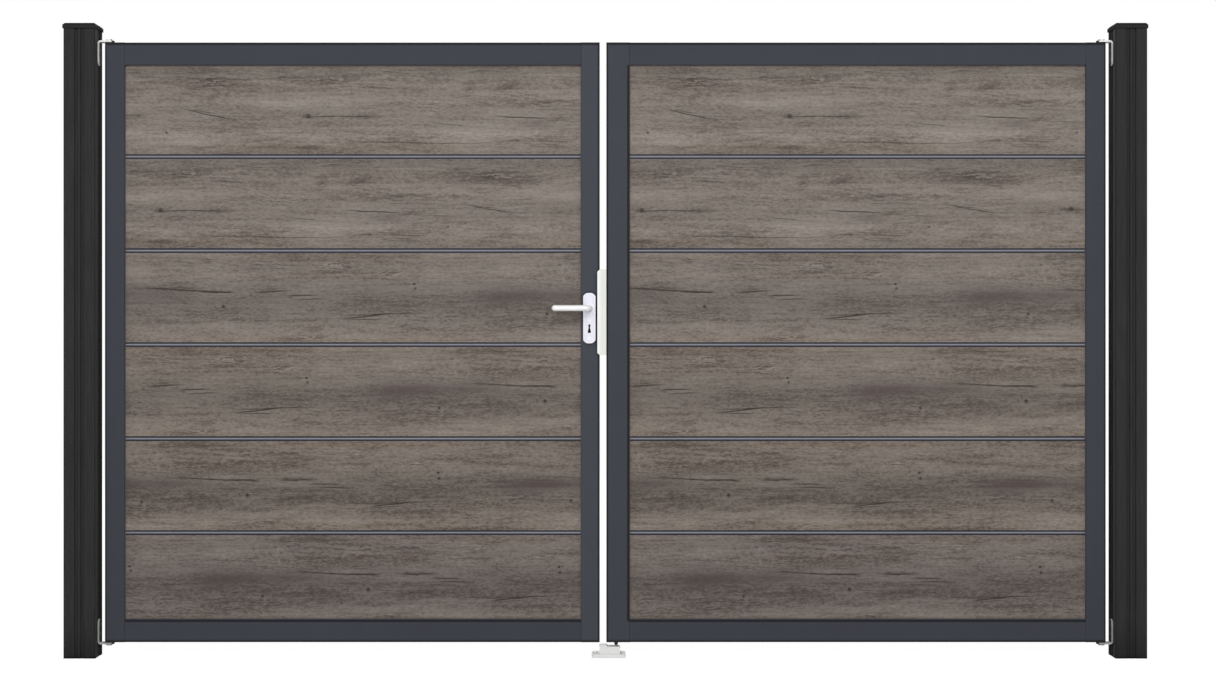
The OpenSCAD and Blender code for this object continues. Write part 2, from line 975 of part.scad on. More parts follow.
on_passive() stile(hinge_stile_w);  // passive_hinge_stile
on_passive() from_edge(passive_w) stile(passive_stile_w);  // passive_meeting_stile
on_passive() top_rail();  // passive_top_rail
on_passive() bottom_rail();  // passive_bottom_rail
on_passive() board(0);  // passive_board_1
on_passive() board(1);  // passive_board_2
on_passive() board(2);  // passive_board_3
on_passive() board(3);  // passive_board_4
on_passive() board(4);  // passive_board_5
on_passive() board(5);  // passive_board_6
on_passive() joint_strips();  // passive_joint_strips
on_passive() pivot_blocks();  // passive_pivot_blocks
on_passive() from_edge(passive_w) end_caps(passive_stile_w);  // passive_end_caps
on_passive() from_edge(passive_w) strike();
on_passive() from_edge(passive_w) rod_guides();
on_passive() from_edge(passive_w) drop_rod();
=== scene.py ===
import math

import bmesh
import bpy
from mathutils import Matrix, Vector


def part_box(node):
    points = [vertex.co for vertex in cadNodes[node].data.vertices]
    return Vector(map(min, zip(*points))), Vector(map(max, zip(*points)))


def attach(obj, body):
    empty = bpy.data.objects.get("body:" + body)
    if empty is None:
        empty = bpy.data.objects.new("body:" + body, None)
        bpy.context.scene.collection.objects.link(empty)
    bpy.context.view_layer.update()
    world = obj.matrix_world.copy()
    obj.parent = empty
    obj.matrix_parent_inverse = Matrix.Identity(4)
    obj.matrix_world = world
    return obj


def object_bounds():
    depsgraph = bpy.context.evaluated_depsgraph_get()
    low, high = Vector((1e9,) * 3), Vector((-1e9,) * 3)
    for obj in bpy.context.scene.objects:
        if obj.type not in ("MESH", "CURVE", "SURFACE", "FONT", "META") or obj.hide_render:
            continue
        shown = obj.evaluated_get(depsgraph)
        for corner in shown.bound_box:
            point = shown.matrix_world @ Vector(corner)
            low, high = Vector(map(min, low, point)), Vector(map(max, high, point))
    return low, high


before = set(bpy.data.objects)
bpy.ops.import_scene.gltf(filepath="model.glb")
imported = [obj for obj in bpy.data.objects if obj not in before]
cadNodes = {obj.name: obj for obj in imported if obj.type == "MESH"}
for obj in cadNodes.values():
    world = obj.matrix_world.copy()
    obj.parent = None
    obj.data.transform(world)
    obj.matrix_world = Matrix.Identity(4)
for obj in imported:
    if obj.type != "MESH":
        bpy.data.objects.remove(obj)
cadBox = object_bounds()
scene = bpy.context.scene
print("frame loaded,", len(cadNodes), "CAD nodes")


# Shader helpers: each one adds a node to a tree and gives back its output socket

def newFinish(name):
    finish = bpy.data.materials.new(name)
    finish.use_nodes = True
    tree = finish.node_tree
    tree.nodes.clear()
    output = tree.nodes.new("ShaderNodeOutputMaterial")
    shader = tree.nodes.new("ShaderNodeBsdfPrincipled")
    tree.links.new(shader.outputs["BSDF"], output.inputs["Surface"])
    return finish, tree, shader


def put(tree, kind, inputs=None, **settings):
    node = tree.nodes.new("ShaderNode" + kind)
    for key, value in settings.items():
        setattr(node, key, value)
    for key, value in (inputs or {}).items():
        if isinstance(value, bpy.types.NodeSocket):
            tree.links.new(value, node.inputs[key])
        else:
            node.inputs[key].default_value = value
    return node


def calc(tree, operation, first, second=0.0, clamp=False):
    node = put(tree, "Math", {0: first, 1: second}, operation=operation, use_clamp=clamp)
    return node.outputs[0]


def ranged(tree, value, low, high, toLow=0.0, toHigh=1.0, smooth=True):
    node = put(tree, "MapRange", {0: value, 1: low, 2: high, 3: toLow, 4: toHigh}, clamp=True,
               interpolation_type="SMOOTHSTEP" if smooth else "LINEAR")
    return node.outputs[0]


def noise(tree, point, scale, detail=2.0, rough=0.5, shift=(0.0, 0.0, 0.0)):
    spread = put(tree, "Mapping", {"Vector": point, "Scale": scale, "Location": shift})
    node = put(tree, "TexNoise", {"Vector": spread.outputs[0], "Scale": 1.0,
                                  "Detail": detail, "Roughness": rough})
    return node.outputs[0]


def tint(tree, amount, first, second, mode="MIX"):
    node = put(tree, "Mix", {0: amount, 6: first, 7: second}, data_type="RGBA", blend_type=mode)
    return node.outputs[2]


def ramp(tree, value, stops):
    node = put(tree, "ValToRGB", {0: value})
    while len(node.color_ramp.elements) < len(stops):
        node.color_ramp.elements.new(0.5)
    for element, (place, colour) in zip(node.color_ramp.elements, stops):
        element.position = place
        element.color = (*colour, 1.0)
    return node.outputs[0]


def bump(tree, height, strength, distance):
    return put(tree, "Bump", {"Height": height, "Strength": strength, "Distance": distance}).outputs[0]


def objectPoint(tree):
    return put(tree, "TexCoord").outputs["Object"]


def edgeMask(tree, radius):
    # 1 on edges, 0 on flats: sharp edges from a rounded normal, arcs from the slope of the surface
    rounded = put(tree, "Bevel", {"Radius": radius}, samples=4).outputs[0]
    true = put(tree, "NewGeometry").outputs["Normal"]
    dot = put(tree, "VectorMath", {0: rounded, 1: true}, operation="DOT_PRODUCT").outputs["Value"]
    x, y, z = partsOf(tree, absolute(tree, put(tree, "TexCoord").outputs["Normal"]))
    steep = calc(tree, "MAXIMUM", x, calc(tree, "MAXIMUM", y, z))
    return calc(tree, "MAXIMUM", ranged(tree, dot, 0.995, 0.86), ranged(tree, steep, 0.995, 0.93))


def crevice(tree, reach):
    # 1 in the open, less in grooves and corners
    return put(tree, "AmbientOcclusion", {"Distance": reach}, samples=6, only_local=False).outputs["AO"]


def solid(value, gain=1.0):
    return (*(channel * gain for channel in value), 1.0)


def grey(tone):
    return (tone, tone, tone, 1.0)


def times(tree, colour, gain):
    return tint(tree, 1.0, colour, gain, "MULTIPLY")


def centred(tree, value, gain):
    # A noise value turned into a swing of that size round 0
    return calc(tree, "MULTIPLY", calc(tree, "SUBTRACT", value, 0.5), gain)


def absolute(tree, vector):
    return put(tree, "VectorMath", {0: vector}, operation="ABSOLUTE").outputs[0]


def partsOf(tree, vector):
    # X, Y and Z outputs
    return put(tree, "SeparateXYZ", {0: vector}).outputs


# Weathered oak print on the boards

oakLook = {
    "dark": (0.068, 0.051, 0.041),
    "shade": (0.129, 0.103, 0.087),
    "middle": (0.207, 0.176, 0.150),
    "light": (0.302, 0.264, 0.229),
    "plum": (0.134, 0.103, 0.098),
    "tan": (1.050, 1.000, 0.935),
    "crackWide": 1.10,
    "crackDeep": 1.60,
    "knotWide": 1.20,
    "knotDeep": 1.25,
    "paintedEdgeHighlight": 1.12,
    "period": 1.290,
    "rightShift": 0.069,
    "rough": 0.62,
}

# Each row of boards: its print, where it starts in the print, how pale it is, partly its own tone and partly
# painted light that falls off from the top row down, its contrast, and how much red and blue it has
boardRows = [("upper", 0.0, 0.990, 0.94, 0.985, 1.010), ("upper", 0.444, 0.930, 0.98, 0.990, 1.012),
             ("lower", 0.0, 0.855, 1.03, 0.994, 1.012), ("lower", 0.324, 0.828, 1.10, 1.005, 1.000),
             ("lower", 1.218, 0.756, 1.30, 1.012, 0.995), ("lower", 0.855, 0.702, 1.26, 1.018, 1.040)]

# Tone of each print from its lower edge to its upper edge
printProfile = {
    "upper": [(0.0, 0.98), (0.10, 1.08), (0.22, 1.30), (0.31, 1.06), (0.44, 1.05), (0.49, 1.03), (0.60, 1.17),
              (0.72, 1.08), (0.82, 1.09), (0.89, 0.89), (1.0, 0.91)],
    "lower": [(0.0, 1.21), (0.15, 1.23), (0.24, 1.06), (0.34, 1.00), (0.44, 0.86), (0.55, 0.93), (0.62, 0.97),
              (0.73, 1.25), (0.79, 1.12), (0.92, 1.12), (1.0, 1.19)],
}

# Marks in each print, in mm: kind, place along, height from the middle, half length,
# half height, slope in degrees, strength
prints = {
    "upper": [
        ("patch", 285, 84, 200, 34, -4, 0.34), ("curl", 270, 84, 120, 30, -6, 0.8),
        ("patch", 630, 84, 190, 28, 0, 0.32), ("curl", 640, 86, 120, 22, 0, 0.6),
        ("crack", 255, -14, 88, 2.0, -12, 0.77), ("crack", 240, -6, 70, 1.5, -9, 0.51),
        ("crack", 320, -26, 60, 1.5, -5, 0.42),
        ("knot", 558, -20, 10, 8, 0, 0.85), ("patch", 558, -20, 46, 15, 0, 0.35),
        ("crack", 660, -24, 150, 1.9, -1, 0.85), ("patch", 735, -26, 70, 16, 0, 0.40),
        ("patch", 36, -21, 70, 14, 0, 0.42), ("knot", 132, -72, 6, 4, 0, 0.6),
        ("crack", 990, -48, 70, 1.6, -3, 0.59), ("crack", 1200, -19, 110, 2.2, -3, 0.77),
        ("plum", 1240, -40, 80, 22, 0, 0.5), ("patch", 1044, 66, 30, 28, 8, 0.30),
        ("patch", 1160, 62, 50, 26, 0, 0.34), ("curl", 1180, 44, 66, 16, 0, 0.7),
        ("pale", 930, 66, 80, 26, -8, 0.4), ("pale", 200, -96, 100, 14, 0, 0.5),
        ("crack", 900, -102, 330, 2.0, 0, 0.48), ("patch", 560, -116, 60, 12, 0, 0.3),
        ("figure", 900, 6, 190, 42, -4, 0.7), ("pale", 480, 20, 200, 20, 0, 0.3),
        ("tan", 645, -119, 800, 15, 0, 0.9),
    ],
    "lower": [
        ("plum", 60, 6, 200, 30, 0, 0.55), ("plum", 1160, -2, 190, 46, 2, 0.7),
        ("patch", 1170, 4, 150, 34, 2, 0.30), ("patch", 800, -16, 170, 40, 0, 0.14),
        ("crack", 180, 22, 150, 2.5, -2, 0.77), ("crack", 290, 18, 62, 2.9, -1, 1.0),
        ("patch", 170, 24, 150, 12, -2, 0.25), ("patch", 445, 20, 90, 14, 3, 0.38),
        ("crack", 450, 18, 70, 2.0, 2, 0.85), ("crack", 536, 6, 56, 2.1, 0, 1.0),
        ("crack", 566, -6, 62, 1.9, -1, 0.68), ("crack", 735, -54, 96, 2.5, 7, 1.0),
        ("crack", 770, -48, 150, 1.7, 2, 0.68), ("crack", 715, -64, 84, 1.9, 3, 0.59),
        ("knot", 303, -25, 7, 5.5, 0, 0.85), ("knot", 279, -24, 4, 3, 0, 0.5),
        ("knot", 876, 39, 6.5, 4.6, 0, 0.8), ("knot", 879, 24, 6, 4.6, 0, 0.75),
        ("knot", 1275, -48, 7, 6, 20, 0.75), ("knot", 558, 118, 5, 4, 0, 0.5),
        ("curl", 636, 96, 96, 26, 0, 0.9), ("curl", 810, 69, 72, 16, 0, 0.9),
        ("curl", 450, 100, 44, 20, 0, 0.5), ("curl", 570, -120, 130, 9, 0, 0.8),
        ("figure", 300, 84, 170, 30, 2, 0.6), ("figure", 930, -60, 260, 24, 0, 0.7),
        ("pale", 330, -84, 190, 20, 0, 0.4), ("pale", 45, 84, 90, 34, 0, 0.4),
        ("pale", 1180, 84, 130, 26, 4, 0.35), ("tan", 645, 124, 800, 13, 0, 0.8),
        ("tan", 645, -122, 800, 13, 0, 0.9), ("crack", 180, 120, 150, 1.6, 0, 0.42),
    ],
}


def markMask(tree, point, mark, length, middle):
    kind, _, height, halfLength, halfHeight, slope, strength = mark
    if kind in ("crack", "knot"):
        halfHeight = halfHeight * oakLook[kind + "Wide"]
        strength = strength * oakLook[kind + "Deep"]
    local = put(tree, "Mapping", {
        "Vector": point,
        "Location": (length, 0.0, middle + height / 1000),
        "Rotation": (0.0, -math.radians(slope), 0.0),
        "Scale": (halfLength / 1000, 1.0, halfHeight / 1000),
    }, vector_type="TEXTURE").outputs[0]
    if kind == "crack":
        # A thin line of even width that fades out at both ends
        x, y, z = partsOf(tree, absolute(tree, local))
        return calc(tree, "MULTIPLY", ranged(tree, x, 1.0, 0.25, 0.0, strength), ranged(tree, z, 1.0, 0.25))
    reach = put(tree, "VectorMath", {0: local}, operation="LENGTH").outputs["Value"]
    core = 0.35 if kind == "knot" else 0.0
    return ranged(tree, reach, 1.0, core, 0.0, strength)


def marksOf(tree, point, printName, kind, start, width, middle):
    # The marks of one kind that fall on this board, added up
    total = None
    for mark in prints[printName]:
        if mark[0] != kind:
            continue
        for turn in range(-1, 3):
            length = mark[1] / 1000 + turn * oakLook["period"]
            if start - mark[3] / 1000 < length < start + width + mark[3] / 1000:
                mask = markMask(tree, point, mark, length, middle)
                total = mask if total is None else calc(tree, "ADD", total, mask)
    return total


def oakFinish(name, low, high, printName, start, toneAndPaintedLight, contrast, red, blue):
    # point runs along the print from this board's start, up from its lower edge
    finish, tree, shader = newFinish(name)
    width = high.x - low.x
    middle = (high.z - low.z) / 2
    raw = put(tree, "Mapping", {"Vector": objectPoint(tree),
                                "Location": (start - low.x, 0.0, -low.z)}).outputs[0]
    other = 3.7 if printName == "upper" else 0.0
    sway = centred(tree, noise(tree, raw, (2.2, 6.0, 9.0), 2.0, 0.5, (other, 0, 0)), 0.036)
    ripple = centred(tree, noise(tree, raw, (13.0, 12.0, 32.0), 2.0, 0.5, (0, other, 0)), 0.0085)
    shiver = centred(tree, noise(tree, raw, (44.0, 12.0, 80.0), 1.0, 0.5, (0, other, 2.1)), 0.0020)
    lift = calc(tree, "ADD", calc(tree, "ADD", sway, ripple), shiver)
    point = put(tree, "VectorMath", {0: raw, 1: put(tree, "CombineXYZ", {"Z": lift}).outputs[0]},
                operation="ADD").outputs[0]

    # Pores, short fibres, longer streaks, broad bands and clouds
    pores = noise(tree, point, (96.0, 60.0, 250.0), 2.0, 0.6, (other, 0, 0))
    fibres = noise(tree, point, (14.0, 60.0, 190.0), 2.0, 0.6, (other, 3.0, 0))
    streaks = noise(tree, point, (3.2, 25.0, 105.0), 3.0, 0.6, (other, 0, 0))
    bands = noise(tree, point, (1.2, 6.0, 16.0), 3.0, 0.5, (0, 0, other))
    cloud = noise(tree, raw, (4.5, 9.0, 22.0), 3.0, 0.55, (other, 0, 0))
    grain = calc(tree, "ADD", centred(tree, pores, 0.68 * contrast), 0.5)
    for layer, gain in ((fibres, 0.40), (streaks, 0.36), (bands, 0.52), (cloud, 0.44)):
        grain = calc(tree, "ADD", grain, centred(tree, layer, gain * contrast))

    # Growth-ring arcs and curls where the print has them
    wave = put(tree, "TexWave", {"Vector": point, "Scale": 26.0, "Distortion": 9.0, "Detail": 3.0,
                                 "Detail Scale": 1.6, "Detail Roughness": 0.55},
               wave_type="BANDS", bands_direction="Z").outputs["Fac"]
    curlPoint = put(tree, "Mapping", {"Vector": raw, "Scale": (0.45, 1.0, 1.0)}).outputs[0]
    curls = put(tree, "TexWave", {"Vector": curlPoint, "Scale": 30.0, "Distortion": 16.0, "Detail": 3.0,
                                  "Detail Scale": 1.1, "Detail Roughness": 0.6},
                wave_type="BANDS", bands_direction="Z").outputs["Fac"]
    for kind, source, gain in (("figure", wave, 0.24), ("curl", curls, 0.48)):
        mask = marksOf(tree, raw, printName, kind, start, width, middle)
        if mask is not None:
            grain = calc(tree, "ADD", grain, calc(tree, "MULTIPLY", centred(tree, source, gain), mask))

    # Broad darker and paler places
    for kind, gain in (("patch", -0.56 * contrast), ("pale", 0.30 * contrast)):
        mask = marksOf(tree, point, printName, kind, start, width, middle)
        if mask is not None:
            torn = calc(tree, "MULTIPLY", mask, ranged(tree, streaks, 0.25, 0.7, 1.25, 0.55))
            grain = calc(tree, "ADD", grain, calc(tree, "MULTIPLY", torn, gain))

    colour = ramp(tree, grain, [(0.08, oakLook["dark"]), (0.33, oakLook["shade"]),
                                (0.52, oakLook["middle"]), (0.86, oakLook["light"])])
    for kind, mode in (("plum", "MIX"), ("tan", "MULTIPLY")):
        mask = marksOf(tree, point, printName, kind, start, width, middle)
        if mask is not None:
            colour = tint(tree, calc(tree, "MULTIPLY", mask, 1.0, True), colour, solid(oakLook[kind]), mode)

    # Fine checks all over, then the print's own cracks and knots
    drift = noise(tree, point, (1.7, 8.0, 34.0), 3.0, 0.55, (other, 0, 1.3))
    ridge = calc(tree, "ABSOLUTE", calc(tree, "SUBTRACT", drift, 0.5))
    checks = calc(tree, "MULTIPLY", ranged(tree, ridge, 0.013, 0.0),
                  ranged(tree, noise(tree, raw, (2.6, 5.0, 11.0), 2.0), 0.50, 0.66))
    depth = calc(tree, "MULTIPLY", checks, 0.65)
    for kind in ("crack", "knot"):
        mask = marksOf(tree, point, printName, kind, start, width, middle)
        if mask is not None:
            torn = calc(tree, "MULTIPLY", mask, ranged(tree, fibres, 0.25, 0.6, 1.35, 0.8))
            depth = calc(tree, "ADD", depth, torn)
    depth = calc(tree, "MINIMUM", depth, 1.0)
    colour = tint(tree, depth, colour, solid(oakLook["dark"], 0.75))

    # Painted highlight along the long edges, then the print's tone from its lower to its upper edge
    up = calc(tree, "DIVIDE", partsOf(tree, point)["Z"], high.z - low.z)
    level = calc(tree, "DIVIDE", partsOf(tree, raw)["Z"], high.z - low.z)
    edge = ranged(tree, calc(tree, "ABSOLUTE", calc(tree, "SUBTRACT", level, 0.5)), 0.462, 0.478)
    colour = tint(tree, edge, colour, grey(oakLook["paintedEdgeHighlight"]), "MULTIPLY")
    headroom = 1.5  # a ramp holds no tone above 1
    # Each row's tone holds painted light that falls off from the top row down
    tones = [(place, (tone * toneAndPaintedLight / headroom,) * 3) for place, tone in printProfile[printName]]
    colour = times(tree, colour, ramp(tree, up, tones))
    colour = times(tree, colour, (headroom * red, headroom, headroom * blue, 1.0))
    tree.links.new(colour, shader.inputs["Base Color"])

    rough = calc(tree, "ADD", centred(tree, fibres, 0.25), oakLook["rough"])
    tree.links.new(rough, shader.inputs["Roughness"])
    relief = calc(tree, "SUBTRACT", calc(tree, "MULTIPLY", grain, 0.5), depth)
    tree.links.new(bump(tree, relief, 0.30, 0.0006), shader.inputs["Normal"])
    shader.inputs["Specular IOR Level"].default_value = 0.20
    return finish


for leaf in ("active", "passive"):
    for row, (printName, start, *look) in enumerate(boardRows):
        node = f"{leaf}_board_{row + 1}"
        low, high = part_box(node)
        shifted = start + (oakLook["rightShift"] if leaf == "passive" else 0.0)
        cadNodes[node].data.materials.clear()
        finish = oakFinish(f"oak {leaf} {row + 1}", low, high, printName, shifted, *look)
        cadNodes[node].data.materials.append(finish)
print("boards finished in oak print")


# Powder coats, plastics and metals

def creviceShaded(tree, colour, look):
    # Painted shade: darker in grooves and corners, where shade falls
    shade = ranged(tree, crevice(tree, look["creviceShadeReach"]), 0.35, 0.95, 1.0 - look["creviceShade"], 1.0)
    return times(tree, colour, put(tree, "CombineColor", {0: shade, 1: shade, 2: shade}).outputs[0])


def rimShaded(tree, colour, look, place, facing):
    # Painted shade: dark lines where a front or back face ends, on the rounded edges turned from the light;
    # axis, coordinate, width and strength of each
    flat = ranged(tree, calc(tree, "ABSOLUTE", facing["Y"]), 0.2, 0.6)
    rim = 0.0
    for axis, coordinate, wide, strength in look["rims"]:
        away = calc(tree, "ABSOLUTE", calc(tree, "SUBTRACT", place[axis], coordinate))
        rim = calc(tree, "MAXIMUM", rim, ranged(tree, away, wide * 1.2, wide * 0.7, 0.0, strength))
    return tint(tree, calc(tree, "MULTIPLY", rim, flat), colour, solid(look["bareAndPaintedLight"]))


def shaded(tree, colour, look, place, facing):
    # Painted light and shadow on side faces: the whole side made lighter or darker, then black towards the
    # back where shadow falls
    begin, end, strength, gain = look["shade"]
    side = ranged(tree, calc(tree, "ABSOLUTE", facing["X"]), 0.5, 0.8)
    colour = tint(tree, side, colour, grey(gain), "MULTIPLY")
    rear = calc(tree, "MULTIPLY", side, ranged(tree, place["Y"], begin, end, 0.0, strength))
    return tint(tree, rear, colour, solid(look["colour"], 0.04))


def darkerTowardsGround(tree, colour, look, place, cloud):
    # Darker towards the ground
    height, strength = look["foot"]
    level = calc(tree, "ADD", place["Z"], centred(tree, cloud, 0.05))
    return tint(tree, ranged(tree, level, height, 0.0, 0.0, strength), colour, solid(look["bareAndPaintedLight"]))


def paintedLightStep(tree, colour, look, place):
    # Painted light: one tone before a place on an axis, another after it, paler where light falls more
    axis, begin, end, first, second = look["across"]
    run = ranged(tree, place[axis], begin, end)
    return times(tree, colour, tint(tree, run, grey(first), grey(second)))


def lipped(tree, colour, look, place):
    # Painted shadow: a black line between two places on an axis, and between two heights
    axis, begin, end, foot, head = look["lip"]
    mask = ranged(tree, place[axis], begin, begin + 0.0015, 0.0, 0.85)
    mask = calc(tree, "MULTIPLY", mask, ranged(tree, place[axis], end, end - 0.0015))
    mask = calc(tree, "MULTIPLY", mask, calc(tree, "GREATER_THAN", place["Z"], foot))
    mask = calc(tree, "MULTIPLY", mask, calc(tree, "LESS_THAN", place["Z"], head))
    return tint(tree, mask, colour, solid(look["bareAndPaintedLight"], 0.8))


def coatFinish(name, look):
    # A sprayed, cast or brushed skin: cloudy tone, fine pimples, drawn lines, worn edges that also carry
    # painted light, and painted shade where the look asks for it
    finish, tree, shader = newFinish(name)
    point = objectPoint(tree)
    place = partsOf(tree, point)
    facing = partsOf(tree, put(tree, "TexCoord").outputs["Normal"])
    cloud = noise(tree, point, (2.3, 5.0, 2.3), 3.0, 0.55)
    speck = noise(tree, point, (420.0, 420.0, 420.0), 2.0, 0.6)
    lines = noise(tree, point, look["lines"], 2.0, 0.5)
    tone = calc(tree, "ADD", centred(tree, cloud, look["cloud"]), centred(tree, speck, look["speck"]))
    tone = calc(tree, "ADD", tone, centred(tree, lines, look["drawn"]))
    level = calc(tree, "ADD", tone, 0.5, True)
    colour = tint(tree, level, solid(look["colour"], 0.72), solid(look["colour"], 1.28))

    # Worn edges, partly real wear and partly painted light: darker edge rounding on the coats, a bright
    # painted highlight on the plate's rim
    patchy = ranged(tree, noise(tree, point, (60.0, 60.0, 60.0), 3.0, 0.6), 0.35, 0.7, 0.55, 1.0)
    edgeWearAndLight = calc(tree, "MULTIPLY", calc(tree, "MULTIPLY", edgeMask(tree, look["edge"]), patchy), look["wearAndEdgeLight"])
    colour = tint(tree, edgeWearAndLight, colour, solid(look["bareAndPaintedLight"]))
    # Painted shade in grooves and corners
    if "creviceShade" in look:
        colour = creviceShaded(tree, colour, look)
    if "rims" in look:
        colour = rimShaded(tree, colour, look, place, facing)
    if "shade" in look:
        colour = shaded(tree, colour, look, place, facing)
    if "foot" in look:
        colour = darkerTowardsGround(tree, colour, look, place, cloud)
    if "across" in look:
        colour = paintedLightStep(tree, colour, look, place)
    if "lip" in look:
        colour = lipped(tree, colour, look, place)
    tree.links.new(colour, shader.inputs["Base Color"])

    rough = calc(tree, "MULTIPLY", calc(tree, "ADD", tone, speck), 0.12)
    rough = calc(tree, "ADD", rough, look["rough"] - 0.06)
    tree.links.new(rough, shader.inputs["Roughness"])
    pimples = calc(tree, "MULTIPLY", speck, look["pimple"])
    skin = calc(tree, "ADD", pimples, calc(tree, "MULTIPLY", lines, look["relief"]))
    tree.links.new(bump(tree, skin, 0.35, 0.0004), shader.inputs["Normal"])
    shader.inputs["Metallic"].default_value = look["metal"]
    shader.inputs["Specular IOR Level"].default_value = look["gloss"]
    return finish


